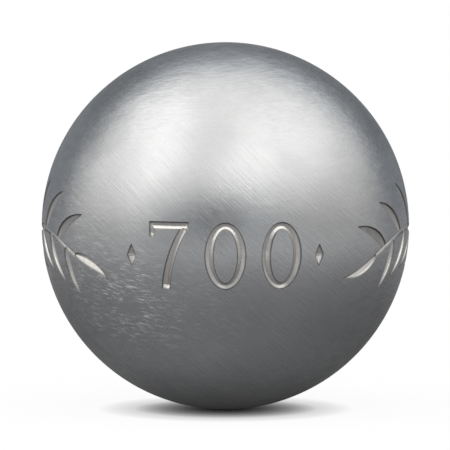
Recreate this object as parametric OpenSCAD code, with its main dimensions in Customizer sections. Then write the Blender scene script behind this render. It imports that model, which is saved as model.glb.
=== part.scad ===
// A competition petanque boule, finished size.
//
// Two forged steel half shells stand rim to rim. Each rim carries a root face
// and a bevel, and one ring of weld metal fills the groove between them. The
// outside is turned to a true sphere afterwards, so the weld is flush there.
// Inside nobody can reach, and the weld keeps its rounded bead.
//
// The origin is the centre of the ball and +Z is up. The weld lies in the
// upright XZ plane: the front half shell faces -Y, the rear one faces +Y.

/* [Ball] */
// Diameter of the finished ball
ball_d = 74; // [70.5:0.5:80]
// Thickness of the steel wall around the hollow
wall = 6.1; // [4.5:0.1:8]

/* [Rims of the half shells] */
// Height of the square root face, measured outwards from the hollow
root_face = 1.5; // [0.5:0.1:2.5]
// Angle between the two bevels above the root faces, in degrees
bevel_angle = 60; // [40:5:80]

/* [Weld] */
// Space between the two root faces
root_gap = 1.2; // [0.4:0.1:2]
// Width of the bead that stands out into the hollow
bead_w = 6; // [4:0.5:8]
// Height of the bead above the wall of the hollow
bead_h = 1; // [0.7:0.1:1.6]

/* [Hidden] */
// How far a cut runs past the face that it opens
overrun = 1;
$fn = 128;

ball_r = ball_d / 2;
hollow_r = ball_r - wall;

// Circle that the two bevels start from, and how far they open at the outside
bevel_r = hollow_r + root_face;
groove_r = ball_r + overrun;
groove_half_w = root_gap / 2 + (groove_r - bevel_r) * tan(bevel_angle / 2);

// The bead is an arc of weld metal: it meets the wall of the hollow bead_w
// apart, and its crest stands bead_h proud of that wall
bead_edge_r = sqrt(hollow_r ^ 2 - (bead_w / 2) ^ 2);
bead_crest_r = hollow_r - bead_h;
bead_rise = bead_edge_r - bead_crest_r;
bead_round = ((bead_w / 2) ^ 2 + bead_rise ^ 2) / (2 * bead_rise);

// The modules below stand the ball on the axis of revolution, +Z, which is
// the way a lathe or a welding turntable holds it. facing_forward() then lays
// that axis along -Y.
module facing_forward() {
    rotate([90, 0, 0]) children();
}

// The forged wall, before the rims are cut
module hollow_ball() {
    difference() {
        sphere(r = ball_r);
        sphere(r = hollow_r);
    }
}

// The space that the two rims leave for the weld: a square slot between the
// root faces, opening into a V. It starts half way up the bead, so that the
// bead and the filling are one piece of metal.
module weld_groove() {
    start_r = hollow_r - bead_h / 2;
    half_gap = root_gap / 2;
    rotate_extrude()
        polygon([
            [start_r, -half_gap],
            [bevel_r, -half_gap],
            [groove_r, -groove_half_w],
            [groove_r, groove_half_w],
            [bevel_r, half_gap],
            [start_r, half_gap]
        ]);
}

// One forging: a dome with its root face at the height of half the gap
module half_shell() {
    difference() {
        hollow_ball();
        weld_groove();
        mirror([0, 0, 1]) cylinder(r = groove_r, h = groove_r);
    }
}

// The rounded bead that the first pass leaves inside the hollow
module root_bead() {
    intersection() {
        sphere(r = hollow_r);
        rotate_extrude()
            translate([bead_crest_r + bead_round, 0]) circle(r = bead_round);
    }
}

// All the weld metal: the filled groove, turned flush with the ball, and the
// bead under it
module weld_metal() {
    intersection() {
        sphere(r = ball_r);
        weld_groove();
    }
    root_bead();
}

module front_half_shell() {
    color("#a9adb0") facing_forward() half_shell();
}

module rear_half_shell() {
    color("#9ea2a5") facing_forward() mirror([0, 0, 1]) half_shell();
}

module weld_seam() {
    color("#b9b4ab") facing_forward() weld_metal();
}

front_half_shell();
rear_half_shell();
weld_seam();
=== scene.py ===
# %% [markdown]
# # A petanque boule
#
# The ball is two forged steel half shells, welded rim to rim and turned true. This lesson dresses the
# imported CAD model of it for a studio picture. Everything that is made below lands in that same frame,
# so nothing is fitted by eye.

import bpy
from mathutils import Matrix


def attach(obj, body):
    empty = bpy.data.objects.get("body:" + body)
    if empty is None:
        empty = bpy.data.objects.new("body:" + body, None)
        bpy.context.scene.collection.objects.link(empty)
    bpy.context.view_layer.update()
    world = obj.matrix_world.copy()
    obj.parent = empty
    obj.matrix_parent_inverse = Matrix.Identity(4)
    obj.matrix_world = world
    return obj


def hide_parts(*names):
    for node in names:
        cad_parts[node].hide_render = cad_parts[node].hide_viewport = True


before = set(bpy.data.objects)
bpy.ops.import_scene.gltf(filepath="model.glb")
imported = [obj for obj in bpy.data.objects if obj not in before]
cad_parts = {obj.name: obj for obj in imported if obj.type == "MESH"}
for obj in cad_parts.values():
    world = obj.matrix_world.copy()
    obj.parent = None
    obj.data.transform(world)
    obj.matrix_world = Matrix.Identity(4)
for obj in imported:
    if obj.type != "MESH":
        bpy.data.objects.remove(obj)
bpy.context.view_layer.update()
print("nodes:", sorted(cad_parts))

# %% Modules that the lesson uses
import math

import bpy
import numpy as np
from mathutils import Vector

# The frame's unit is the metre
MM = 0.001
CM = 0.01

# %% [markdown]
# ## Sizes read from the frame
#
# The CAD nodes know how big everything is, so no dimension of the ball is typed in again. The front
# shell reaches from its outer skin to the wall of the hollow, and its rim is cut as a weld
# preparation: a narrow square root face, then a bevel that opens towards the outside. Distances from
# the centre and the places of the rim give all of that.

# %% Measure the CAD nodes
NEAR_ENOUGH = 0.01 * MM


def node_points(name):
    """Every vertex of a CAD node, one row each, and its distance from the centre of the ball."""
    points = np.array([v.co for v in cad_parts[name].data.vertices], float)
    return points, np.linalg.norm(points, axis=1)


shell_points, shell_reach = node_points("front_half_shell")
weld_points, weld_reach = node_points("weld_seam")

ball_r = float(shell_reach.max())
hollow_r = float(shell_reach.min())
root_half_gap = -float(shell_points[:, 1].max())
on_root_face = shell_points[:, 1] > -root_half_gap - NEAR_ENOUGH
bevel_r = float(shell_reach[on_root_face].max())
groove_half_w = float(weld_points[:, 1].max())
bead_crest_r = float(weld_reach.min())
on_bead_edge = np.abs(weld_reach - hollow_r) < NEAR_ENOUGH
bead_half_w = float(np.abs(weld_points[on_bead_edge, 1]).max())
print(f"ball {ball_r / MM:.2f}, hollow {hollow_r / MM:.2f}, bevel {bevel_r / MM:.2f} mm from the centre")
print(f"root gap {2 * root_half_gap / MM:.2f}, weld {2 * groove_half_w / MM:.2f} mm wide outside")
print(f"bead {2 * bead_half_w / MM:.2f} mm wide, crest {bead_crest_r / MM:.2f} mm from the centre")

# %% [markdown]
# ## The camera
#
# The photograph was taken with a long lens, a little above the height of the ball. A long lens keeps
# the outline close to a true circle and shows almost the whole half that faces it. The ball fills a
# known share of the picture, and that fixes the focal length once the distance is chosen. The camera
# comes early, because every later choice is judged through it.

# %% Place the camera
PICTURE_PX = 450
BALL_RADIUS_PX = 183.7
BALL_CENTRE_PX = (225.4, 225.8)
CAMERA_DISTANCE = 1.5
CAMERA_ELEVATION = math.radians(4.6)
SENSOR_W = 36.0

outline_slope = ball_r / math.sqrt(CAMERA_DISTANCE**2 - ball_r**2)
lens = SENSOR_W * BALL_RADIUS_PX / PICTURE_PX / outline_slope
camera_data = bpy.data.cameras.new("camera")
camera_data.lens = lens
camera_data.sensor_width = SENSOR_W
camera_data.shift_x = (PICTURE_PX / 2 - BALL_CENTRE_PX[0]) / PICTURE_PX
camera_data.shift_y = (BALL_CENTRE_PX[1] - PICTURE_PX / 2) / PICTURE_PX
camera = bpy.data.objects.new("camera", camera_data)
bpy.context.scene.collection.objects.link(camera)
to_camera = Vector((0, -math.cos(CAMERA_ELEVATION), math.sin(CAMERA_ELEVATION)))
camera.location = to_camera * CAMERA_DISTANCE
camera.rotation_euler = to_camera.to_track_quat("Z", "Y").to_euler()
bpy.context.scene.camera = camera
print(f"lens {lens:.0f} mm from {CAMERA_DISTANCE:.1f} m away")

# %% [markdown]
# ## Helpers for node trees
#
# Shader nodes and Geometry Nodes are built the same way: place a node, fill or link its inputs, take
# an output. `Value` wraps one output so that sums are written as sums. Every plus or times places one
# Math node, which keeps a formula in the script as short as it is on paper.

# %% Node helpers
class Value:
    """One output in a node tree. Arithmetic on it places Math nodes."""

    def __init__(self, tree, socket):
        self.tree = tree
        self.socket = socket

    def math(self, operation, *others):
        """A Math node on this value and the others."""
        return combine(self.tree, "ShaderNodeMath", operation, self, *others)

    def __add__(self, other):
        return self.math("ADD", other)

    def __sub__(self, other):
        return self.math("SUBTRACT", other)

    def __mul__(self, other):
        return self.math("MULTIPLY", other)

    def __truediv__(self, other):
        return self.math("DIVIDE", other)


def fill(tree, socket, value):
    """Links a Value to a socket, or sets a plain value on it."""
    if isinstance(value, Value):
        tree.links.new(value.socket, socket)
    else:
        socket.default_value = value


def place(tree, kind, inputs=None, **options):
    """One new node with its options set and its inputs filled."""
    node = tree.nodes.new(kind)
    for name, option in options.items():
        setattr(node, name, option)
    for key, value in (inputs or {}).items():
        fill(tree, node.inputs[key], value)
    return node


def output(tree, kind, inputs=None, key=0, **options):
    """The same, when only one output of the node is wanted."""
    return Value(tree, place(tree, kind, inputs, **options).outputs[key])


def combine(tree, kind, operation, *values):
    """A Math or Vector Math node on some values."""
    return output(tree, kind, dict(enumerate(values)), operation=operation)


def number(tree, operation, *vectors):
    """A Vector Math node whose answer is a number: a length or a dot product."""
    node = combine(tree, "ShaderNodeVectorMath", operation, *vectors).socket.node
    return Value(tree, node.outputs["Value"])


def xyz(tree, vector):
    """The three parts of a vector."""
    node = place(tree, "ShaderNodeSeparateXYZ", {0: vector})
    return [Value(tree, socket) for socket in node.outputs]


def vector(tree, x, y, z):
    """A vector from its three parts."""
    return output(tree, "ShaderNodeCombineXYZ", {0: x, 1: y, 2: z})


FLOAT = "NodeSocketFloat"
WHOLE = "NodeSocketInt"
VECTOR = "NodeSocketVector"
SHAPE = "NodeSocketGeometry"
FINISH = "NodeSocketMaterial"
OBJECT = "NodeSocketObject"


def new_group(name, kind, inputs, outputs):
    """A node group. Gives the tree, its inputs by name and the sockets of its output node."""
    tree = bpy.data.node_groups.new(name, kind)
    for label, socket in inputs:
        tree.interface.new_socket(name=label, in_out="INPUT", socket_type=socket)
    for label, socket in outputs:
        tree.interface.new_socket(name=label, in_out="OUTPUT", socket_type=socket)
    entry = tree.nodes.new("NodeGroupInput")
    leave = tree.nodes.new("NodeGroupOutput")
    given = {socket.name: Value(tree, socket) for socket in entry.outputs if socket.name}
    return tree, given, leave.inputs


# %% [markdown]
# ## The studio
#
# A polished ball shows its surroundings, so the studio is half of the picture. The ball stands on a
# pale floor inside a tent of white cloth. The floor and the world are white wherever they are seen
# directly, also in reflections. Close to the ball that white is darkened by ambient occlusion, a painted
# contact shadow, with a little of the floor's real shading mixed in, and the rest of the background
# turns plain white.

# %% Floor and world
FLOOR_SIZE = 6.0
FLOOR_COLOUR = (0.93, 0.93, 0.93, 1)
# Painted contact shadow: ambient occlusion within these reaches darkens the floor's white glow
CONTACT_REACH = 4.4 * MM
SOFT_REACH = 8.2 * MM
# The glow that carries the painted shadow makes up WHITE_UNDER_BALL of the floor under the ball, and all
# of it from SHADOW_REACH out
SHADOW_REACH = 150 * MM
WHITE_UNDER_BALL = 0.93
WORLD_FILL = 0.5


def stage_mesh(name, points, faces):
    """A mesh object of the studio, which isn't part of the ball."""
    mesh = bpy.data.meshes.new(name)
    mesh.from_pydata(points, [], faces)
    mesh.validate()
    piece = bpy.data.objects.new(name, mesh)
    bpy.context.scene.collection.objects.link(piece)
    return piece


def new_material(name):
    """A material with an empty node tree."""
    material = bpy.data.materials.new(name)
    material.use_nodes = True
    material.node_tree.nodes.clear()
    return material, material.node_tree


def fade(tree, value, start, end, low=0.0, high=1.0):
    """Carries a value smoothly from low to high as it goes from start to end."""
    inputs = {0: value, 1: start, 2: end, 3: low, 4: high}
    return output(tree, "ShaderNodeMapRange", inputs, interpolation_type="SMOOTHSTEP")


def mix_colour(tree, share, first, second):
    """A colour between two others. A Mix node's colour sockets can only be told by their number."""
    inputs = {0: share, 6: first, 7: second}
    return output(tree, "ShaderNodeMix", inputs, key=2, data_type="RGBA", clamp_factor=True)


def on_the_ground(tree):
    """Place on a level surface: to the right, to the back, and how far from under the ball."""
    side, back, _ = xyz(tree, output(tree, "ShaderNodeTexCoord", key="Object"))
    return side, back, (side * side + back * back).math("SQRT")


def seen_directly(tree):
    """1 for the rays that show the background: camera, reflection and refraction."""
    path = place(tree, "ShaderNodeLightPath")
    kinds = ("Is Camera Ray", "Is Glossy Ray", "Is Transmission Ray")
    direct, reflected, refracted = [Value(tree, path.outputs[kind]) for kind in kinds]
    return direct.math("MAXIMUM", reflected).math("MAXIMUM", refracted)


def floor_material():
    """White where it is seen directly, with a painted contact shadow from ambient occlusion under the
    ball.
    """
    material, tree = new_material("studio_floor")
    painted_shadow_glow = None
    # Painted contact shadow: ambient occlusion dims the glow of the floor near the ball
    for reach in (CONTACT_REACH, SOFT_REACH):
        inputs = {"Distance": reach}
        shade = output(tree, "ShaderNodeAmbientOcclusion", inputs, key="AO", samples=16) * 0.5
        painted_shadow_glow = shade if painted_shadow_glow is None else painted_shadow_glow + shade
    _, _, distance = on_the_ground(tree)
    lit = output(tree, "ShaderNodeBsdfDiffuse", {"Color": FLOOR_COLOUR})
    glow = output(tree, "ShaderNodeEmission", {"Strength": painted_shadow_glow})
    share = seen_directly(tree) * fade(tree, distance, 0.0, SHADOW_REACH, WHITE_UNDER_BALL)
    mixed = output(tree, "ShaderNodeMixShader", {0: share, 1: lit, 2: glow})
    place(tree, "ShaderNodeOutputMaterial", {"Surface": mixed})
    return material


half = FLOOR_SIZE / 2
corners = [(-half, -half, -ball_r), (half, -half, -ball_r), (half, half, -ball_r), (-half, half, -ball_r)]
floor = stage_mesh("floor", corners, [(0, 1, 2, 3)])
floor.data.materials.append(floor_material())

world = bpy.data.worlds.new("studio_world")
bpy.context.scene.world = world
world.use_nodes = True
world_tree = world.node_tree
world_tree.nodes.clear()
white_share = seen_directly(world_tree)
strength = white_share * (1 - WORLD_FILL) + WORLD_FILL
background = output(world_tree, "ShaderNodeBackground", {"Color": (1, 1, 1, 1), "Strength": strength})
place(world_tree, "ShaderNodeOutputWorld", {"Surface": background})
print(f"{floor.name}: {FLOOR_SIZE:.0f} m wide, {ball_r / MM:.1f} mm below the middle of the ball")

# %% [markdown]
# The tent is a dome of cloth that the camera looks straight through. It is bright above and in front
# of the sides, and dim behind the ball and low in front, which draws the dark edge round the ball and
# the dark lower half. Soft lamps glow through the cloth at the left, in front and at the right, and a
# broad one hangs overhead. The edge between bright and dim cloth runs high in front of the ball and
# drops towards its sides. The lens looks in through an opening, which shows as a dark smudge above the
# middle of the ball, with a bright fold of cloth beside it and a dim one further right. A second pair
# of folds stands at the left, and two faint glows lie low behind the ball and light its left and right
# edge.

# %% The light tent
TENT_R = 0.8
TENT_LIFT = 1 * MM
CLOTH_BRIGHT = (1.0, 0.997, 0.978, 1)
CLOTH_DIM = (0.932, 0.986, 1.064, 1)
SOFT_LAMPS = [
    # azimuth from the front to the right, elevation, spread (degrees), strength
    (-84, 40, 45, 0.71),
    (-47, 25, 33, 0.57),
    (12, 31, 27, 0.46),
    (57, 50, 33, 0.30),
    (71, 75, 82, 0.98),
]
CLOTH_SPOTS = [
    # the same columns. The opening, a bright and a dim fold, two folds at the left, two low glows
    (1, 12, 17, -0.17),
    (18, 6, 16, 0.17),
    (62, 3, 24, -0.09),
    (-94, 47, 18, 0.10),
    (-116, 34, 18, -0.12),
    (-148, 5, 24, 0.04),
    (143, 5, 16, 0.06),
]
# The edge between bright and dim cloth, as heights on a tent of radius 1
EDGE_IN_FRONT = 0.766
EDGE_TO_RIGHT = 0.09
EDGE_DROP = 0.35
EDGE_SOFTNESS = 0.075
# How far behind the ball the bright cloth ends, and how that changes towards the sides
BACK_REACH = 0.63
BACK_SOFTNESS = 0.45
BACK_AT_SIDES = 0.18
CRISPER_AT_SIDES = 0.9
# Strength of the cloth without its lamps. The dim cloth gains to the front, and loses to the right
# and upwards
BRIGHT_LEVEL = 0.22
DIM_LEVEL = 0.262
GAIN_TO_FRONT = 0.035
LOSS_TO_RIGHT = 0.02
LOSS_UPWARDS = 0.074


def direction_of(azimuth, elevation):
    """A direction from its angles in degrees. Azimuth 0 is the front of the ball."""
    turn, rise = math.radians(azimuth), math.radians(elevation)
    return (math.sin(turn) * math.cos(rise), -math.cos(turn) * math.cos(rise), math.sin(rise))


def soft_spots(tree, direction, spots):
    """The sum of soft round spots, listed as the lamps are."""
    total = None
    for azimuth, elevation, spread, strength in spots:
        towards = number(tree, "DOT_PRODUCT", direction, direction_of(azimuth, elevation))
        spot = fade(tree, towards, math.cos(math.radians(spread)), 1.0, 0.0, strength)
        total = spot if total is None else total + spot
    return total


def tent_material():
    """Glowing cloth whose strength depends on the direction from the ball."""
    material, tree = new_material("tent_cloth")
    position = output(tree, "ShaderNodeTexCoord", key="Object")
    direction = combine(tree, "ShaderNodeVectorMath", "NORMALIZE", position)
    side, back, up = xyz(tree, direction)
    front = back * -1.0
    edge = front * front.math("ABSOLUTE") * EDGE_IN_FRONT - side * EDGE_TO_RIGHT - EDGE_DROP
    above = fade(tree, up - edge, -EDGE_SOFTNESS, EDGE_SOFTNESS)
    aside = side.math("ABSOLUTE")
    before_end = (front - aside * BACK_AT_SIDES + BACK_REACH) * (aside * CRISPER_AT_SIDES + 1.0)
    bright = above * fade(tree, before_end, -BACK_SOFTNESS, BACK_SOFTNESS)
    dim = front * GAIN_TO_FRONT - side * LOSS_TO_RIGHT - up * LOSS_UPWARDS + DIM_LEVEL
    lamps = soft_spots(tree, direction, SOFT_LAMPS)
    spots = soft_spots(tree, direction, CLOTH_SPOTS)
    strength = bright * (lamps + BRIGHT_LEVEL) + dim + spots
    colour = mix_colour(tree, bright * bright, CLOTH_DIM, CLOTH_BRIGHT)
    glow = output(tree, "ShaderNodeEmission", {"Color": colour, "Strength": strength})
    place(tree, "ShaderNodeOutputMaterial", {"Surface": glow})
    return material


def dome(name, radius, rings, spokes, lowest):
    """A dome open at the bottom, as points and faces."""
    points = [(0, 0, radius)]
    faces = []
    for ring in range(1, rings + 1):
        fall = (math.pi / 2 - lowest) * ring / rings
        for spoke in range(spokes):
            turn = 2 * math.pi * spoke / spokes
            flat = radius * math.sin(fall)
            points.append((flat * math.cos(turn), flat * math.sin(turn), radius * math.cos(fall)))
    for spoke in range(spokes):
        faces.append((0, 1 + spoke, 1 + (spoke + 1) % spokes))
    for ring in range(1, rings):
        first = 1 + (ring - 1) * spokes
        for spoke in range(spokes):
            following = (spoke + 1) % spokes
            outer = first + spokes
            faces.append((first + spoke, outer + spoke, outer + following, first + following))
    return stage_mesh(name, points, faces)


def hide_from(piece, *rays):
    """Makes a piece of the studio invisible to some kinds of rays."""
    for ray in rays:
        setattr(piece, "visible_" + ray, False)


tent_foot = -math.asin((ball_r - TENT_LIFT) / TENT_R)
tent = dome("light_tent", TENT_R, rings=24, spokes=48, lowest=tent_foot)
tent.data.materials.append(tent_material())
hide_from(tent, "camera", "transmission", "shadow")
print(f"{tent.name}: {len(tent.data.polygons)} faces, {TENT_R:.1f} m from the middle of the ball")

# %% [markdown]
# A round card lies on the floor, and only reflections show it. Its glow is a painted reflection of a
# floor that the ball itself shades: nearly black under the ball, a painted shadow, and grey further out.

# %% The dark card
CARD_LIFT = 0.4 * MM
CARD_COLOUR = (0.988, 0.993, 1.01, 1)
CARD_CORNERS = 64
# The darkest glow, the painted shadow right under the ball
CARD_DARKEST = 0.016
# Bands of painted glow that brighten outwards from that shadow: where one ends, its strength, and what
# that gains to front and right
NEAR_BAND = (33 * MM, 0.141, 0.404 * 0.141, -0.178 * 0.141)
FAR_BAND = (287 * MM, 0.345, 0.165, 0.035)


def card_material():
    """A glow painted as a floor seen in reflection, with a painted shadow where the ball stands."""
    material, tree = new_material("card_painted_reflection")
    side, back, distance = on_the_ground(tree)
    strength = None
    for reach, level, front_gain, right_gain in (NEAR_BAND, FAR_BAND):
        lean = back / distance * -front_gain + side / distance * right_gain
        band = fade(tree, distance, 0.0, reach) * (lean + level)
        strength = band + CARD_DARKEST if strength is None else strength + band
    glow = output(tree, "ShaderNodeEmission", {"Color": CARD_COLOUR, "Strength": strength})
    place(tree, "ShaderNodeOutputMaterial", {"Surface": glow})
    return material


card_r = TENT_R * math.cos(tent_foot)
rim = [math.tau * k / CARD_CORNERS for k in range(CARD_CORNERS)]
card_points = [(card_r * math.cos(t), card_r * math.sin(t), CARD_LIFT - ball_r) for t in rim]
card = stage_mesh("dark_card", card_points, [tuple(range(CARD_CORNERS))])
card.data.materials.append(card_material())
hide_from(card, "camera", "diffuse", "transmission", "shadow")
print(f"{card.name}: {card_r:.2f} m in radius")

# %% [markdown]
# ## Shared effects for the steel
#
# A boule is brushed, handled and thrown, and each of these leaves its own mark. The marks are built
# once, as shader node groups, and every steel finish below uses them with its own values. All of them
# read the position in the ball's own frame, so they run over the three pieces without a break.
#
# - `brush_strokes` is a noise squashed into thin discs. Where the discs meet the skin they leave
#   hairlines, and `Tilt` turns their direction.
# - `short_scratches` picks a few cells of a stretched Voronoi pattern and leaves one short line in each.
# - `worn_patches` is a slow noise with no direction, for dull, rusty or blued patches and for grain.

# %% Node groups for brushing, scratches and wear
# A scratch fades between these distances from the middle of its cell, whose size is 1
SCRATCH_EDGE = (0.30, 0.12)


def stretched(tree, given, along, across):
    """A group's position, turned by its tilt, squashed along the third axis and shifted by its seed."""
    inputs = {"Vector": given["Position"], "Rotation": given["Tilt"]}
    x, y, z = xyz(tree, output(tree, "ShaderNodeVectorRotate", inputs, rotation_type="EULER_XYZ"))
    seed = given["Seed"]
    return vector(tree, x / given[along] + seed, y / given[along] + seed, z / given[across] + seed)


def brush_group():
    """Hairlines of one direction, as a height round 0."""
    tree, given, leave = new_group(
        "brush_strokes",
        "ShaderNodeTree",
        [("Position", VECTOR), ("Tilt", VECTOR), ("Stroke length", FLOAT),
         ("Stroke width", FLOAT), ("Seed", FLOAT)],
        [("Height", FLOAT)],
    )
    spot = stretched(tree, given, "Stroke length", "Stroke width")
    inputs = {"Vector": spot, "Scale": 1.0, "Detail": 2.0, "Roughness": 0.6}
    noise = output(tree, "ShaderNodeTexNoise", inputs)
    fill(tree, leave["Height"], noise - 0.5)
    return tree


def scratch_group():
    """Short single scratches, as a mask from 0 to 1."""
    tree, given, leave = new_group(
        "short_scratches",
        "ShaderNodeTree",
        [("Position", VECTOR), ("Tilt", VECTOR), ("Cell length", FLOAT), ("Cell width", FLOAT),
         ("Share", FLOAT), ("Seed", FLOAT)],
        [("Scratch", FLOAT)],
    )
    spot = stretched(tree, given, "Cell length", "Cell width")
    cells = place(tree, "ShaderNodeTexVoronoi", {"Vector": spot, "Scale": 1.0})
    distance = Value(tree, cells.outputs["Distance"])
    pick, _, _ = xyz(tree, Value(tree, cells.outputs["Color"]))
    line = fade(tree, distance, *SCRATCH_EDGE)
    fill(tree, leave["Scratch"], line * pick.math("LESS_THAN", given["Share"]))
    return tree


def patch_group():
    """Slow patches without a direction, from 0 to 1."""
    tree, given, leave = new_group(
        "worn_patches",
        "ShaderNodeTree",
        [("Position", VECTOR), ("Patch size", FLOAT), ("Seed", FLOAT), ("Edge", FLOAT)],
        [("Patch", FLOAT)],
    )
    x, y, z = xyz(tree, given["Position"])
    size = given["Patch size"]
    spot = vector(tree, x / size + given["Seed"], y / size, z / size)
    inputs = {"Vector": spot, "Scale": 1.0, "Detail": 3.0, "Roughness": 0.5}
    noise = output(tree, "ShaderNodeTexNoise", inputs)
    fill(tree, leave["Patch"], fade(tree, noise, given["Edge"] * -1.0 + 0.5, given["Edge"] + 0.5))
    return tree


brush_strokes = brush_group()
short_scratches = scratch_group()
worn_patches = patch_group()
print("effects:", [group.name for group in (brush_strokes, short_scratches, worn_patches)])

# %% [markdown]
# ## The finishes
#
# Five finishes cover the whole ball. The skin is satin steel, ground and brushed in three directions:
# diagonal hairlines over most of it, short wavy strokes high up, and level ones in the worn zones low
# at the left, where small flecks are rougher and carry a painted glint of brighter steel colour, as do
# short scratches over the lower half. A slow waviness runs under them and grows towards the outline of
# the half that faces us. Five soft spots on the upper half have a darker, duller steel colour. The cut
# marks show bare metal, a little warmer and brighter, with the chatter of the tool across the cut, a
# painted dark line of shade along their edges and painted shade on their upper flanks. The bevels
# under the weld are machined, the weld bead inside is blued, and the wall of the hollow keeps its dark
# forging scale. All five are fully metallic, so their colour is the colour of the reflection.

# %% Building blocks for a finish
def effect(tree, group, **inputs):
    """One of the shared effects, placed in a material."""
    node = tree.nodes.new("ShaderNodeGroup")
    node.node_tree = group
    for name, value in inputs.items():
        fill(tree, node.inputs[name.replace("_", " ").capitalize()], value)
    return Value(tree, node.outputs[0])


def steel_finish(name, parts):
    """A metal whose colour, roughness and height come from parts(tree, position)."""
    material, tree = new_material(name)
    position = output(tree, "ShaderNodeTexCoord", key="Object")
    colour, roughness, height, relief = parts(tree, position)
    bump = output(tree, "ShaderNodeBump", {"Height": height, "Distance": relief, "Strength": 1.0})
    inputs = {"Base Color": colour, "Metallic": 1.0, "Roughness": roughness, "Normal": bump}
    metal = output(tree, "ShaderNodeBsdfPrincipled", inputs)
    place(tree, "ShaderNodeOutputMaterial", {"Surface": metal})
    print(f"{name}: {len(tree.nodes)} nodes")
    return material


def from_degrees(tilt):
    """A tilt given in degrees, as the rotation that the effects take."""
    return tuple(math.radians(angle) for angle in tilt)


def brushed(tree, position, tilt, length, width, seed):
    """Brush strokes, with their tilt in degrees and their length and width in millimetres."""
    return effect(
        tree, brush_strokes, position=position, tilt=from_degrees(tilt),
        stroke_length=length * MM, stroke_width=width * MM, seed=seed,
    )


def patches(tree, position, size, seed, edge):
    """Worn patches of a size in millimetres. A wide edge leaves them faint, a narrow one crisp."""
    return effect(tree, worn_patches, position=position, patch_size=size * MM, seed=seed, edge=edge)


# %% Satin steel of the skin
SATIN_COLOUR = (0.57, 0.573, 0.58, 1)
SATIN_DULL = (0.46, 0.465, 0.47, 1)
# Colour of the painted glints on flecks and short scratches
SATIN_BRIGHT = (0.93, 0.94, 0.96, 1)
SATIN_RELIEF = 0.036 * MM
BRUSHINGS = [
    # tilt about each axis (degrees), length and width of a stroke (millimetres), seed
    ((0, -44, 0), 6, 0.18, 1.0),
    ((0, 4, 0), 1.7, 0.34, 5.0),
    ((0, -13, 0), 2.1, 0.17, 9.0),
    ((0, 6, 0), 4, 1.4, 4.0),
]
WAVY_HEIGHT = 1.05
LEVEL_HEIGHT = 1.6
WAVINESS_HEIGHT = 0.65
WAVINESS_NEAR_RIM = 2.2
# What the diagonal strokes lose where one of the other kinds lies
DIAGONAL_LOSS = 0.8
# Where an effect begins and where it is whole, as shares of the radius. The first two are heights, the
# third is a distance in front of the middle of the ball or behind it
HIGH_UP = (0.45, 0.75)
LOWER_HALF = (0.3, 0.0)
NEAR_RIM = (0.8, 0.35)
WORN_ZONES = [
    # azimuth from the front to the right, elevation, spread (degrees), strength
    (-40, -20, 27, 0.7),
    (-17, -26, 30, 0.35),
    (-52, 9, 18, 0.35),
]
# Soft spots where the steel colour turns darker and duller
DULL_SPOTS = [
    # the same columns
    (-49, 33, 11, 0.9),
    (-68, 49, 14, 0.8),
    (75, 31, 10, 0.6),
    (-56, 53, 11, 0.3),
    (-2, 67, 10, 0.6),
]
SPOT_DULLNESS = 0.9
PATCH_DULLNESS = 0.35
SKIN_DULLNESS = 0.25
# Two heights as shares of the radius, and how strongly the strokes tint the colour below and above
STROKE_CONTRAST = (0.05, 0.35, 1.9, 0.7)
# A fleck, a painted glint, sits on the crest of a level stroke, between these heights of the stroke
FLECK_CREST = (0.0, 0.18)
SCRATCH_TILT = (0, -38, 0)
SCRATCH_SHINE = 0.15
SHINE_DEPTH = 0.15
SHINE_SHARE = 0.9
SATIN_ROUGHNESS = 0.24


def satin_parts(tree, position):
    """Three kinds of brushing in their zones, a slow waviness, worn zones with painted glints, and dull
    spots.
    """
    outward = combine(tree, "ShaderNodeVectorMath", "NORMALIZE", position)
    _, towards, up = xyz(tree, outward)
    patch = patches(tree, position, 14, seed=3.0, edge=0.16)
    small_patch = patches(tree, position, 4, seed=8.0, edge=0.2)
    diagonal, wavy, level, waviness = [brushed(tree, position, *kind) for kind in BRUSHINGS]

    high_up = fade(tree, up + patch * 0.2, *HIGH_UP)
    worn = soft_spots(tree, outward, WORN_ZONES)
    elsewhere = high_up.math("MAXIMUM", worn) * -DIAGONAL_LOSS + 1.0
    near_rim = fade(tree, towards.math("ABSOLUTE"), *NEAR_RIM)
    strokes = diagonal * elsewhere + wavy * high_up * WAVY_HEIGHT + level * worn * LEVEL_HEIGHT
    height = strokes + waviness * (near_rim * WAVINESS_NEAR_RIM + WAVINESS_HEIGHT)

    flecks = fade(tree, level, *FLECK_CREST) * (small_patch * 0.8 + 0.6) * worn
    scratches = effect(
        tree, short_scratches, position=position, tilt=from_degrees(SCRATCH_TILT),
        cell_length=6 * MM, cell_width=0.5 * MM, share=0.25, seed=2.0,
    )
    # Painted glint: flecks and short scratches in the lower half turn towards SATIN_BRIGHT, and are also
    # rougher and dented
    bright = flecks + scratches * fade(tree, up, *LOWER_HALF) * SCRATCH_SHINE
    height = height - bright * SHINE_DEPTH

    # Spots of darker, duller steel colour
    dull_spots = soft_spots(tree, outward, DULL_SPOTS)
    dull = patch * PATCH_DULLNESS + dull_spots * SPOT_DULLNESS + SKIN_DULLNESS
    lines = strokes * fade(tree, up, *STROKE_CONTRAST) + waviness * near_rim * WAVINESS_NEAR_RIM
    colour = mix_colour(tree, dull + lines, SATIN_COLOUR, SATIN_DULL)
    # The painted glint, in the colour
    colour = mix_colour(tree, bright * SHINE_SHARE, colour, SATIN_BRIGHT)
    worn_smooth = patch * 0.04 + small_patch * 0.03
    roughness = worn_smooth + strokes * 0.2 + bright * 0.35 + SATIN_ROUGHNESS
    return colour, roughness, height, SATIN_RELIEF


satin_steel = steel_finish("satin_steel", satin_parts)

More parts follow.
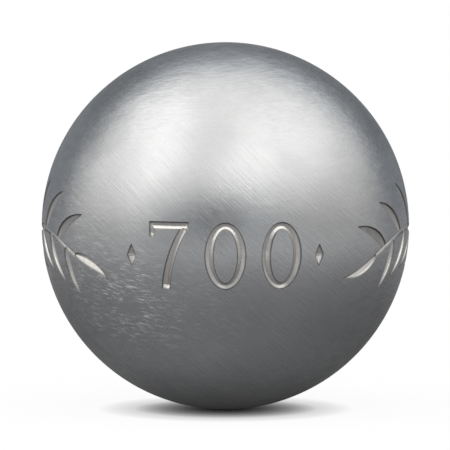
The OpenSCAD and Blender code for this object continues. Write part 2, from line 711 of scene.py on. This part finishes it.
# %% Bare steel of the cut marks
CUT_COLOUR = (0.80, 0.78, 0.75, 1)
CUT_DULL = (0.60, 0.58, 0.555, 1)
CUT_EDGE_SHADE = (0.15, 0.147, 0.144, 1)
CUT_SHADED = (0.07, 0.068, 0.066, 1)
CUT_RELIEF = 0.012 * MM
CUT_ROUGHNESS = 0.26
CHATTER = 0.35 * MM
# The depths between which the painted shade, a dark line along an edge, comes in
EDGE_SHADE_DEPTHS = (0.34 * MM, 0.12 * MM)
# Where the painted shade on the upper flank of a level cut comes in, from 0 at its bottom to 1 at its
# edge
UPPER_SIDE = (0.55, 0.9)


def cut_parts(tree, position):
    """Chatter across the cut, dull spots, and painted shade: a dark line along its edges and a darker
    upper flank.
    """
    along = output(tree, "ShaderNodeAttribute", key="Fac", attribute_name="along_cut")
    upper = output(tree, "ShaderNodeAttribute", key="Fac", attribute_name="upper_flank")
    patch = patches(tree, position, 1.2, seed=4.0, edge=0.2)
    steps = output(
        tree, "ShaderNodeTexNoise",
        {"W": along / CHATTER, "Scale": 1.0, "Detail": 1.0}, noise_dimensions="1D",
    )
    depth = number(tree, "LENGTH", position) * -1.0 + ball_r
    edge_shade = fade(tree, depth, *EDGE_SHADE_DEPTHS)
    colour = mix_colour(tree, patch * 0.3 + steps * 0.5, CUT_COLOUR, CUT_DULL)
    # Painted shade: a dark line along the edges of the cut
    colour = mix_colour(tree, edge_shade * 0.8, colour, CUT_EDGE_SHADE)
    # Painted shade on the upper flank of a level cut
    colour = mix_colour(tree, fade(tree, upper, *UPPER_SIDE) * 0.7, colour, CUT_SHADED)
    roughness = patch * 0.08 + CUT_ROUGHNESS
    return colour, roughness, steps, CUT_RELIEF


cut_steel = steel_finish("cut_steel", cut_parts)

# %% Machined bevels, weld bead and forging scale
BEVEL_LIGHT = (0.60, 0.60, 0.60, 1)
BEVEL_DARK = (0.50, 0.50, 0.51, 1)
BEVEL_RELIEF = 0.008 * MM
SCALE_DARK = (0.11, 0.11, 0.12, 1)
SCALE_RUSTY = (0.21, 0.15, 0.11, 1)
SCALE_RELIEF = 0.06 * MM
WELD_GREY = (0.42, 0.41, 0.38, 1)
WELD_BLUE = (0.26, 0.25, 0.32, 1)
WELD_RELIEF = 0.05 * MM


def bevel_parts(tree, position):
    """Fine rings round the axis of the lathe."""
    rings = brushed(tree, position, (90, 0, 0), 12, 0.12, seed=6.0)
    colour = mix_colour(tree, rings + 0.5, BEVEL_LIGHT, BEVEL_DARK)
    return colour, rings * 0.1 + 0.27, rings, BEVEL_RELIEF


def scale_parts(tree, position):
    """Dark forging scale with rusty patches."""
    patch = patches(tree, position, 6, seed=7.0, edge=0.12)
    grain = patches(tree, position, 0.8, seed=2.0, edge=0.25)
    colour = mix_colour(tree, patch, SCALE_DARK, SCALE_RUSTY)
    return colour, grain * 0.2 + 0.55, grain, SCALE_RELIEF


def weld_parts(tree, position):
    """Blued weld metal with the ripples of the molten pool."""
    ripples = brushed(tree, position, (0, 0, 0), 6, 1.2, seed=3.0)
    patch = patches(tree, position, 5, seed=1.0, edge=0.15)
    colour = mix_colour(tree, patch, WELD_GREY, WELD_BLUE)
    return colour, patch * 0.15 + 0.35, ripples, WELD_RELIEF


weld_metal = steel_finish("weld_metal", weld_parts)
machined_steel = steel_finish("machined_steel", bevel_parts)
forging_scale = steel_finish("forging_scale", scale_parts)

# %% [markdown]
# ## Turning the shells and the weld
#
# Each piece is a body of revolution about the Y axis, as on the lathe that finished the real ball. So
# each one is drawn as half of its cross section and turned by one Geometry Nodes tree. The tree sweeps
# the outline along a circle and then works out every point afresh from two things that it remembered:
# where the point lies on the outline and how far round it has gone. That keeps the skin exactly on the
# sphere of the CAD part. The faces get their finish from their distance to the centre.

# %% Curves and Geometry Nodes modifiers
def curve_object(name, strokes):
    """A flat curve object. A stroke is (points, closed) and a point is (x, y, radius)."""
    data = bpy.data.curves.new(name, "CURVE")
    data.dimensions = "3D"
    for points, closed in strokes:
        spline = data.splines.new("POLY")
        spline.points.add(len(points) - 1)
        spline.use_cyclic_u = closed
        for spot, (x, y, radius) in zip(spline.points, points):
            spot.co = (x, y, 0, 1)
            spot.radius = radius
    curve = bpy.data.objects.new(name, data)
    bpy.context.scene.collection.objects.link(curve)
    return curve


def remember(tree, geometry, value, kind="FLOAT"):
    """Captures a value on a geometry. Gives the geometry and the captured value."""
    node = tree.nodes.new("GeometryNodeCaptureAttribute")
    node.capture_items.new(kind, "kept")
    fill(tree, node.inputs[0], geometry)
    fill(tree, node.inputs[1], value)
    return Value(tree, node.outputs[0]), Value(tree, node.outputs[1])


def run_tree(obj, tree, inputs):
    """Adds a Geometry Nodes modifier and sets its inputs by the sockets' identifiers."""
    modifier = obj.modifiers.new(tree.name, "NODES")
    modifier.node_group = tree
    for item in tree.interface.items_tree:
        if item.in_out == "INPUT" and item.name in inputs:
            modifier[item.identifier] = inputs[item.name]


def plain_mesh(obj, name):
    """The evaluated object as a new object with a plain mesh. The old object goes."""
    graph = bpy.context.evaluated_depsgraph_get()
    mesh = bpy.data.meshes.new_from_object(
        obj.evaluated_get(graph), preserve_all_data_layers=True, depsgraph=graph
    )
    bpy.data.objects.remove(obj)
    piece = bpy.data.objects.new(name, mesh)
    bpy.context.scene.collection.objects.link(piece)
    return piece


# %% The lathe tree
SAME_PLACE = 0.001 * MM
SKIN_TOLERANCE = 0.02 * MM


def lathe_tree():
    """Turns an outline about the Y axis into a closed skin with three finishes."""
    tree, given, leave = new_group(
        "lathe",
        "GeometryNodeTree",
        [("Outline", SHAPE), ("Steps round", WHOLE), ("Ball radius", FLOAT), ("Hollow radius", FLOAT),
         ("Skin", FINISH), ("Rim", FINISH), ("Hollow", FINISH)],
        [("Turned", SHAPE)],
    )
    position = output(tree, "GeometryNodeInputPosition")
    outline, spot = remember(tree, given["Outline"], position, "VECTOR")
    circle = output(tree, "GeometryNodeCurvePrimitiveCircle", {"Resolution": given["Steps round"]})
    factor = output(tree, "GeometryNodeSplineParameter", key="Factor")
    circle, turn = remember(tree, circle, factor * math.tau)
    skin = output(tree, "GeometryNodeCurveToMesh", {"Curve": circle, "Profile Curve": outline})
    reach, along, _ = xyz(tree, spot)
    turned = vector(tree, reach * turn.math("COSINE"), along, reach * turn.math("SINE"))
    skin = output(tree, "GeometryNodeSetPosition", {"Geometry": skin, "Position": turned})
    skin = output(tree, "GeometryNodeMergeByDistance", {"Geometry": skin, "Distance": SAME_PLACE})
    skin = output(tree, "GeometryNodeRealizeInstances", {"Geometry": skin})
    skin = output(tree, "GeometryNodeSetMaterial", {"Geometry": skin, "Material": given["Rim"]})
    distance = number(tree, "LENGTH", position)
    outside = distance.math("GREATER_THAN", given["Ball radius"] - SKIN_TOLERANCE)
    inside = distance.math("LESS_THAN", given["Hollow radius"] + SKIN_TOLERANCE)
    for chosen, finish in ((outside, "Skin"), (inside, "Hollow")):
        inputs = {"Geometry": skin, "Selection": chosen, "Material": given[finish]}
        skin = output(tree, "GeometryNodeSetMaterial", inputs)
    fill(tree, leave["Turned"], skin)
    return tree


# %% Outlines of the three pieces
STEPS_ROUND = 180
ARC_STEP = math.radians(2)


def arc(radius, start, end, centre=(0.0, 0.0)):
    """Points on a circle, as (reach from the lathe axis, place along it). Angle 0 faces -Y."""
    count = max(1, math.ceil(abs(end - start) / ARC_STEP))
    angles = [start + (end - start) * k / count for k in range(count + 1)]
    return [(centre[0] + radius * math.sin(a), centre[1] - radius * math.cos(a)) for a in angles]


def turned_piece(name, outline, closed, tree, finishes):
    """One piece turned from its outline."""
    curve = curve_object(name + "_outline", [([(reach, along, 1) for reach, along in outline], closed)])
    inputs = {"Steps round": STEPS_ROUND, "Ball radius": ball_r, "Hollow radius": hollow_r}
    run_tree(curve, tree, inputs | finishes)
    return plain_mesh(curve, name)


skin_edge = math.acos(groove_half_w / ball_r)
hollow_edge = math.acos(root_half_gap / hollow_r)
root_reach = math.sqrt(bevel_r**2 - root_half_gap**2)

shell_outline = arc(ball_r, 0, skin_edge)
shell_outline += [(root_reach, -root_half_gap)]
shell_outline += arc(hollow_r, hollow_edge, 0)

# The bead of the weld is an arc through its crest and the two places where it meets the hollow
bead_edge_reach = math.sqrt(hollow_r**2 - bead_half_w**2)
bead_rise = bead_edge_reach - bead_crest_r
bead_round = (bead_half_w**2 + bead_rise**2) / (2 * bead_rise)
bead_turn = math.asin(bead_half_w / bead_round)
bead_centre = (bead_crest_r + bead_round, 0.0)
foot_edge = math.acos(bead_half_w / hollow_r)

weld_outline = arc(ball_r, skin_edge, math.pi - skin_edge)
weld_outline += [(root_reach, root_half_gap)]
weld_outline += arc(hollow_r, math.pi - hollow_edge, math.pi - foot_edge)
weld_outline += arc(bead_round, -math.pi / 2 - bead_turn, -math.pi / 2 + bead_turn, bead_centre)[1:-1]
weld_outline += arc(hollow_r, foot_edge, hollow_edge)
weld_outline += [(root_reach, -root_half_gap)]

lathe = lathe_tree()
shell_finishes = {"Skin": satin_steel, "Rim": machined_steel, "Hollow": forging_scale}
weld_finishes = {"Skin": satin_steel, "Rim": machined_steel, "Hollow": weld_metal}
rear_outline = [(reach, -along) for reach, along in reversed(shell_outline)]
front_shell = turned_piece("front_shell_skin", shell_outline, False, lathe, shell_finishes)
rear_shell = turned_piece("rear_shell_skin", rear_outline, False, lathe, shell_finishes)
weld_ring = turned_piece("weld_ring_skin", weld_outline, True, lathe, weld_finishes)


def volume(mesh):
    """Volume of a closed mesh. It is negative where the faces point inwards."""
    mesh.calc_loop_triangles()
    points = np.array([v.co for v in mesh.vertices])
    corners = points[np.array([triangle.vertices for triangle in mesh.loop_triangles])]
    return float(np.einsum("ij,ij->i", corners[:, 0], np.cross(corners[:, 1], corners[:, 2])).sum() / 6)


def describe(pieces):
    """Prints how many faces each piece has and how much steel it holds."""
    for piece in pieces:
        faces = len(piece.data.polygons)
        print(f"{piece.name}: {faces} faces, {volume(piece.data) / CM**3:.2f} cubic centimetres")


describe((front_shell, rear_shell, weld_ring))

# %% [markdown]
# ## The cut marks
#
# A player's boules carry plain numbers, such as their weight in grams, and an ornament that tells one
# set from another. They are cut rather more than half a millimetre deep, with a tool that has a blunt
# V for a tip, steep shoulders above it and a flare that breaks the edge. Drawn in an image they would
# be flat, so they are real cuts here: the tool is swept along each stroke and taken away from the
# steel.
#
# The strokes are drawn flat, in a band that is wrapped round the ball: x runs along the equator and y
# upwards. The radius of a curve point is half of the width of the cut there, and the depth follows the
# width, as it does with a V-shaped tool. One Geometry Nodes tree does the whole sweep. The outline of
# the tool tip is remembered point by point, so that the V keeps its shape while it grows and shrinks,
# and each end of a stroke runs out in a slanted facet.

# %% The tree of the V tool
def vee_tool_tree():
    """Sweeps the tool along flat strokes and wraps the result round the ball."""
    tree, given, leave = new_group(
        "vee_tool",
        "GeometryNodeTree",
        [("Strokes", SHAPE), ("Tool tip", OBJECT), ("Ball radius", FLOAT), ("Depth ratio", FLOAT),
         ("Edge depth", FLOAT), ("Edge run", FLOAT), ("Clearance", FLOAT), ("Run out", FLOAT),
         ("Step", FLOAT), ("Steel", FINISH)],
        [("Cutters", SHAPE)],
    )
    inputs = {"Curve": given["Strokes"], "Length": given["Step"]}
    path = output(tree, "GeometryNodeResampleCurve", inputs, mode="LENGTH")
    done = output(tree, "GeometryNodeSplineParameter", key="Length")
    left = output(tree, "GeometryNodeSplineLength", key="Length") - done
    closed = output(tree, "GeometryNodeInputSplineCyclic")
    ramp = (done.math("MINIMUM", left) / given["Run out"]).math("MINIMUM", 1.0).math("MAXIMUM", closed)
    half_width = output(tree, "GeometryNodeInputRadius")
    tangent = output(tree, "GeometryNodeInputTangent")
    sideways = combine(tree, "ShaderNodeVectorMath", "CROSS_PRODUCT", (0, 0, 1), tangent)
    position = output(tree, "GeometryNodeInputPosition")
    path, centre = remember(tree, path, position, "VECTOR")
    path, sideways = remember(tree, path, sideways, "VECTOR")
    path, half_width = remember(tree, path, half_width)
    path, depth = remember(tree, path, half_width * given["Depth ratio"] * ramp)
    path, along = remember(tree, path, done)

    tip = output(tree, "GeometryNodeObjectInfo", {"Object": given["Tool tip"]}, key="Geometry")
    tip, tip_place = remember(tree, tip, position, "VECTOR")
    inputs = {"Curve": path, "Profile Curve": tip, "Fill Caps": True}
    cutter = output(tree, "GeometryNodeCurveToMesh", inputs)

    across, up, _ = xyz(tree, tip_place)
    above = up.math("MAXIMUM", 0.0)
    below = up.math("MINIMUM", 0.0)
    out_to = across * half_width + across.math("SIGN") * above * given["Edge run"]
    height = below * depth - given["Edge depth"] + above * (given["Edge depth"] + given["Clearance"])
    centre_x, centre_y, _ = xyz(tree, centre)
    side_x, side_y, _ = xyz(tree, sideways)
    turn = (centre_x + side_x * out_to) / given["Ball radius"]
    rise = (centre_y + side_y * out_to) / given["Ball radius"]
    reach = height + given["Ball radius"]
    level = reach * rise.math("COSINE")
    wrapped = vector(
        tree, level * turn.math("SINE"), level * turn.math("COSINE") * -1.0, reach * rise.math("SINE")
    )
    cutter = output(tree, "GeometryNodeSetPosition", {"Geometry": cutter, "Position": wrapped})
    for name, value in (("along_cut", along), ("upper_flank", across * side_y)):
        inputs = {"Geometry": cutter, "Name": name, "Value": value}
        cutter = output(
            tree, "GeometryNodeStoreNamedAttribute", inputs, data_type="FLOAT", domain="CORNER"
        )
    cutter = output(tree, "GeometryNodeRealizeInstances", {"Geometry": cutter})
    inputs = {"Geometry": cutter, "Material": given["Steel"]}
    fill(tree, leave["Cutters"], output(tree, "GeometryNodeSetMaterial", inputs))
    return tree


# The tip: its point, flat flanks, steep shoulders, and a flare that breaks the edge of the cut
FLANK = [(0.78, -0.5, 1), (1, 0, 1), (1, 1, 1)]
tip_outline = [(0, -1, 1)] + FLANK + [(-x, y, radius) for x, y, radius in reversed(FLANK)]
tool_tip = curve_object("tool_tip", [(tip_outline, True)])
vee_tool = vee_tool_tree()
tool = {
    "Tool tip": tool_tip,
    "Ball radius": ball_r,
    "Depth ratio": 0.8,
    "Edge depth": 0.05 * MM,
    "Edge run": 0.75 * MM,
    "Clearance": 0.3 * MM,
    "Run out": 0.7 * MM,
    "Step": 0.25 * MM,
    "Steel": cut_steel,
}
print("tool tip:", len(tip_outline), "corners")

# %% [markdown]
# The front of the ball carries plain numerals, the weight in grams, between two small lozenges. A 7 is
# two straight pulls of the tool and a curved one. A 0 is one closed oval, wider at its sides, where the
# tool goes deeper. A lozenge is a single short pull that goes in and comes out again.

# %% Numerals and lozenges
BAND_DROP = 3.2 * MM
DIGIT_H = 13.4 * MM
DIGIT_W = 8.2 * MM
DIGIT_PITCH = 11.4 * MM
THICK = 0.85 * MM
THIN = 0.65 * MM
LOZENGE_H = 4.4 * MM
LOZENGE_HALF_W = 1.0 * MM
LOZENGE_X = 19.5 * MM
OVAL_STEPS = 48
LEG_STEPS = 16
BAR_HALF_W = THICK * 0.85
TICK_H = DIGIT_H * 0.17
TICK_END_HALF_W = THIN * 0.7
FOOT_SHIFT = DIGIT_W * 0.12
LEG_BOW = DIGIT_H * 0.06


def zero(middle):
    """An oval whose width of cut swells at its two sides."""
    half_w = DIGIT_W / 2 - THICK
    half_h = DIGIT_H / 2 - THIN
    points = []
    for k in range(OVAL_STEPS):
        turn = math.tau * k / OVAL_STEPS
        half_cut = THIN + (THICK - THIN) * math.cos(turn) ** 2
        points.append((middle + half_w * math.cos(turn), half_h * math.sin(turn) - BAND_DROP, half_cut))
    return points, True


def seven(middle):
    """A bar, a tick down from its left end and a leg that curves down from its right end."""
    left = middle - DIGIT_W / 2 + THIN
    right = middle + DIGIT_W / 2 - THIN
    top = DIGIT_H / 2 - THIN - BAND_DROP
    foot_x = middle - FOOT_SHIFT
    foot_y = -DIGIT_H / 2 - BAND_DROP
    bow_x, bow_y = middle, (top + foot_y) / 2 + LEG_BOW
    bar = [(left - THIN, top, BAR_HALF_W), (right + THIN, top, BAR_HALF_W)]
    tick = [(left, top + BAR_HALF_W, THIN), (left, top - TICK_H, TICK_END_HALF_W)]
    leg = []
    for k in range(LEG_STEPS + 1):
        t = k / LEG_STEPS
        x = (1 - t) ** 2 * right + 2 * t * (1 - t) * bow_x + t**2 * foot_x
        y = (1 - t) ** 2 * top + 2 * t * (1 - t) * bow_y + t**2 * foot_y
        leg.append((x, y, THIN + (THICK - THIN) * t))
    return [(bar, False), (tick, False), (leg, False)]


def lozenge(middle):
    """One short upright pull, widest half way."""
    half_h = LOZENGE_H / 2
    points = [(middle, half_h - BAND_DROP, 0.0), (middle, -BAND_DROP, LOZENGE_HALF_W)]
    return points + [(middle, -half_h - BAND_DROP, 0.0)], False


strokes = seven(-DIGIT_PITCH) + [zero(0.0), zero(DIGIT_PITCH), lozenge(-LOZENGE_X), lozenge(LOZENGE_X)]
numeral_strokes = curve_object("numeral_strokes", strokes)
run_tree(numeral_strokes, vee_tool, tool)
numeral_cutters = plain_mesh(numeral_strokes, "numeral_cutters")
print("numerals:", len(strokes), "strokes,", len(numeral_cutters.data.polygons), "faces")

# %% [markdown]
# Each flank carries a laurel branch that comes round from the back over the weld, with its tip towards
# the numerals. A branch follows a path, so Geometry Nodes set its leaves: the tree places one leaf
# curve on evenly spaced points of the stem, left and right in turn, smaller towards the end, and ends
# in a leaf straight on. Stem and leaves then go through the same V tool.

# %% The tree of the branch
LEAF_POINTS = 16
# Where a leaf's curve starts, as a share of its length: a little behind the middle of the stem
LEAF_START = -0.08
# Below 1, a leaf is widest before its middle and its outline is fuller than a sine
LEAF_LEAN = 0.8
LEAF_FULLNESS = 0.9
# Shares of the stem: no leaf stands before the first, and past the second it points straight on
FIRST_LEAF_AT = 0.1
END_LEAF_AT = 0.999


def branch_tree():
    """Sets leaves along a stem. Everything stays a curve whose radius is half a cut's width."""
    tree, given, leave = new_group(
        "laurel_branch",
        "GeometryNodeTree",
        [("Stem", SHAPE), ("Leaves", WHOLE), ("Leaf length", FLOAT), ("Leaf half width", FLOAT),
         ("Leaf bow", FLOAT), ("Spread", FLOAT), ("Last size", FLOAT)],
        [("Strokes", SHAPE)],
    )
    factor = output(tree, "GeometryNodeSplineParameter", key="Factor")
    tip = vector(tree, given["Leaf length"], 0.0, 0.0)
    bow = vector(tree, given["Leaf length"] * 0.5, given["Leaf bow"], 0.0)
    start = vector(tree, given["Leaf length"] * LEAF_START, 0.0, 0.0)
    inputs = {"Resolution": LEAF_POINTS, "Start": start, "Middle": bow, "End": tip}
    leaf = output(tree, "GeometryNodeCurveQuadraticBezier", inputs)
    swell = (factor.math("POWER", LEAF_LEAN) * math.pi).math("SINE").math("MAXIMUM", 0.0)
    half_width = given["Leaf half width"] * swell.math("POWER", LEAF_FULLNESS)
    leaf = output(tree, "GeometryNodeSetCurveRadius", {"Curve": leaf, "Radius": half_width})

    spots = output(tree, "GeometryNodeResampleCurve", {"Curve": given["Stem"], "Count": given["Leaves"]})
    index = output(tree, "GeometryNodeInputIndex")
    side = index.math("MODULO", 2.0) * 2.0 - 1.0
    before_end = factor.math("LESS_THAN", END_LEAF_AT)
    size = factor * (given["Last size"] - 1.0) + 1.0
    spots, size = remember(tree, spots, size)
    inputs = {"Vector": output(tree, "GeometryNodeInputTangent")}
    facing = output(tree, "FunctionNodeAlignRotationToVector", inputs, axis="X", pivot_axis="Z")
    inputs = {"Axis": (0, 0, 1), "Angle": side * before_end * given["Spread"]}
    spread = output(tree, "FunctionNodeAxisAngleToRotation", inputs)
    inputs = {"Rotation": facing, "Rotate By": spread}
    facing = output(tree, "FunctionNodeRotateRotation", inputs, rotation_space="LOCAL")
    inputs = {
        "Points": spots,
        "Selection": factor.math("GREATER_THAN", FIRST_LEAF_AT),
        "Instance": leaf,
        "Rotation": facing,
        "Scale": vector(tree, size, size * side, size),
    }
    leaves = output(tree, "GeometryNodeInstanceOnPoints", inputs)
    leaves = output(tree, "GeometryNodeRealizeInstances", {"Geometry": leaves})
    half_width = output(tree, "GeometryNodeInputRadius") * size
    leaves = output(tree, "GeometryNodeSetCurveRadius", {"Curve": leaves, "Radius": half_width})
    together = place(tree, "GeometryNodeJoinGeometry")
    for part in (given["Stem"], leaves):
        tree.links.new(part.socket, together.inputs[0])
    fill(tree, leave["Strokes"], Value(tree, together.outputs[0]))
    return tree


# %% Two branches
BRANCH_FROM = math.radians(104)
BRANCH_TO = math.radians(54)
BRANCH_RISE = 6 * MM
STEM_HALF_W = 0.8 * MM
STEM_STEPS = 24
STEM_TAPER = 0.55
# A stem is a stretch of a half wave: where on it the stem starts, how much it takes, how low it hangs
WAVE_START = 0.08
WAVE_TAKEN = 0.85
WAVE_DROP = 0.4


def stem(side):
    """A stem bent like a bow from the back to the front, on the left (-1) or right (1)."""
    points = []
    for k in range(STEM_STEPS + 1):
        t = k / STEM_STEPS
        turn = BRANCH_FROM + (BRANCH_TO - BRANCH_FROM) * t
        wave = math.sin(math.pi * (WAVE_START + WAVE_TAKEN * t)) - WAVE_DROP
        y = BRANCH_RISE * wave - BAND_DROP
        points.append((side * turn * ball_r, y, STEM_HALF_W * (1 - STEM_TAPER * t)))
    return points, False


branch_strokes = curve_object("branch_strokes", [stem(-1), stem(1)])
branch = {
    "Leaves": 10,
    "Leaf length": 13 * MM,
    "Leaf half width": 1.25 * MM,
    "Leaf bow": 2.2 * MM,
    "Spread": math.radians(50),
    "Last size": 0.75,
}
run_tree(branch_strokes, branch_tree(), branch)
run_tree(branch_strokes, vee_tool, {**tool, "Depth ratio": 0.7})
branch_cutters = plain_mesh(branch_strokes, "branch_cutters")
print("branches:", len(branch_cutters.data.polygons), "faces")

# %% [markdown]
# ## Cutting the steel
#
# The branches run over the weld, as the real cuts do, because the ball was already one piece when they
# were made. So the same cutters go through all three pieces. The tree splits them into single strokes
# and subtracts those one by one, which keeps the solids closed where strokes cross.

# %% The cutting tree
def cutting_tree():
    """A steel piece less every stroke of two sets of cutters."""
    tree, given, leave = new_group(
        "cutting",
        "GeometryNodeTree",
        [("Piece", SHAPE), ("Numerals", OBJECT), ("Branches", OBJECT)],
        [("Cut piece", SHAPE)],
    )
    together = place(tree, "GeometryNodeJoinGeometry")
    for name in ("Numerals", "Branches"):
        cutters = output(tree, "GeometryNodeObjectInfo", {"Object": given[name]}, key="Geometry")
        tree.links.new(cutters.socket, together.inputs[0])
    island = output(tree, "GeometryNodeInputMeshIsland", key="Island Index")
    inputs = {"Geometry": Value(tree, together.outputs[0]), "Group ID": island}
    single = output(tree, "GeometryNodeSplitToInstances", inputs, domain="FACE")
    inputs = {"Mesh 1": given["Piece"], "Mesh 2": single}
    cut = output(tree, "GeometryNodeMeshBoolean", inputs, operation="DIFFERENCE", solver="MANIFOLD")
    fill(tree, leave["Cut piece"], output(tree, "GeometryNodeRealizeInstances", {"Geometry": cut}))
    return tree


cutting = cutting_tree()
uncut_pieces = {
    "front_half_shell_steel": front_shell,
    "rear_half_shell_steel": rear_shell,
    "weld_seam_steel": weld_ring,
}
cut_pieces = []
for name, piece in uncut_pieces.items():
    run_tree(piece, cutting, {"Numerals": numeral_cutters, "Branches": branch_cutters})
    cut_pieces.append(plain_mesh(piece, name))
for helper in (numeral_cutters, branch_cutters, tool_tip):
    bpy.data.objects.remove(helper)
describe(cut_pieces)

# %% [markdown]
# ## Smooth skin, sharp cuts
#
# The skin is made of flat facets two degrees wide, and a mirror shows every facet. A ball has the
# simplest of all normals, straight away from its centre, so the corners of the skin faces are given
# exactly that one. All other faces keep the normals that Blender works out, with an edge wherever the
# surface turns by more than the angle below.

# %% Set the normals
SHARP_ANGLE = math.radians(24)
RADIAL_ENOUGH = 0.99


def set_normals(mesh):
    """Radial normals on the skin, smooth ones with sharp edges elsewhere."""
    mesh.shade_smooth()
    mesh.set_sharp_from_angle(angle=SHARP_ANGLE)
    points = np.array([v.co for v in mesh.vertices])
    reach = np.linalg.norm(points, axis=1)
    on_skin = np.zeros(len(mesh.polygons), bool)
    for face in mesh.polygons:
        radial = np.array(face.center) / np.linalg.norm(face.center)
        flush = reach[list(face.vertices)].min() > ball_r - SKIN_TOLERANCE
        on_skin[face.index] = flush and radial @ np.array(face.normal) > RADIAL_ENOUGH
    corner_points = np.zeros(len(mesh.loops), int)
    mesh.loops.foreach_get("vertex_index", corner_points)
    sizes = np.zeros(len(mesh.polygons), int)
    mesh.polygons.foreach_get("loop_total", sizes)
    skin_corners = np.repeat(on_skin, sizes)
    normals = np.array([corner.vector for corner in mesh.corner_normals])
    radial = points / reach[:, None]
    normals[skin_corners] = radial[corner_points[skin_corners]]
    mesh.normals_split_custom_set(normals.tolist())
    return int(on_skin.sum())


for piece in cut_pieces:
    print(piece.name, "skin faces:", set_normals(piece.data))

# %% [markdown]
# ## Hand the pieces to the frame
#
# Nothing on a boule moves, so all three pieces ride on the one body of the frame. Each stands for the
# CAD node that it was made from, which is hidden.

# %% Ride and replace
stands_for = {
    "front_half_shell_steel": ("front_half_shell", "shell_steel"),
    "rear_half_shell_steel": ("rear_half_shell", "shell_steel"),
    "weld_seam_steel": ("weld_seam", "weld_steel"),
}
for piece in cut_pieces:
    node, steel = stands_for[piece.name]
    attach(piece, "root")
    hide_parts(node)
    print(piece.name, "stands for", node)

bpy.context.scene.view_settings.view_transform = "Standard"
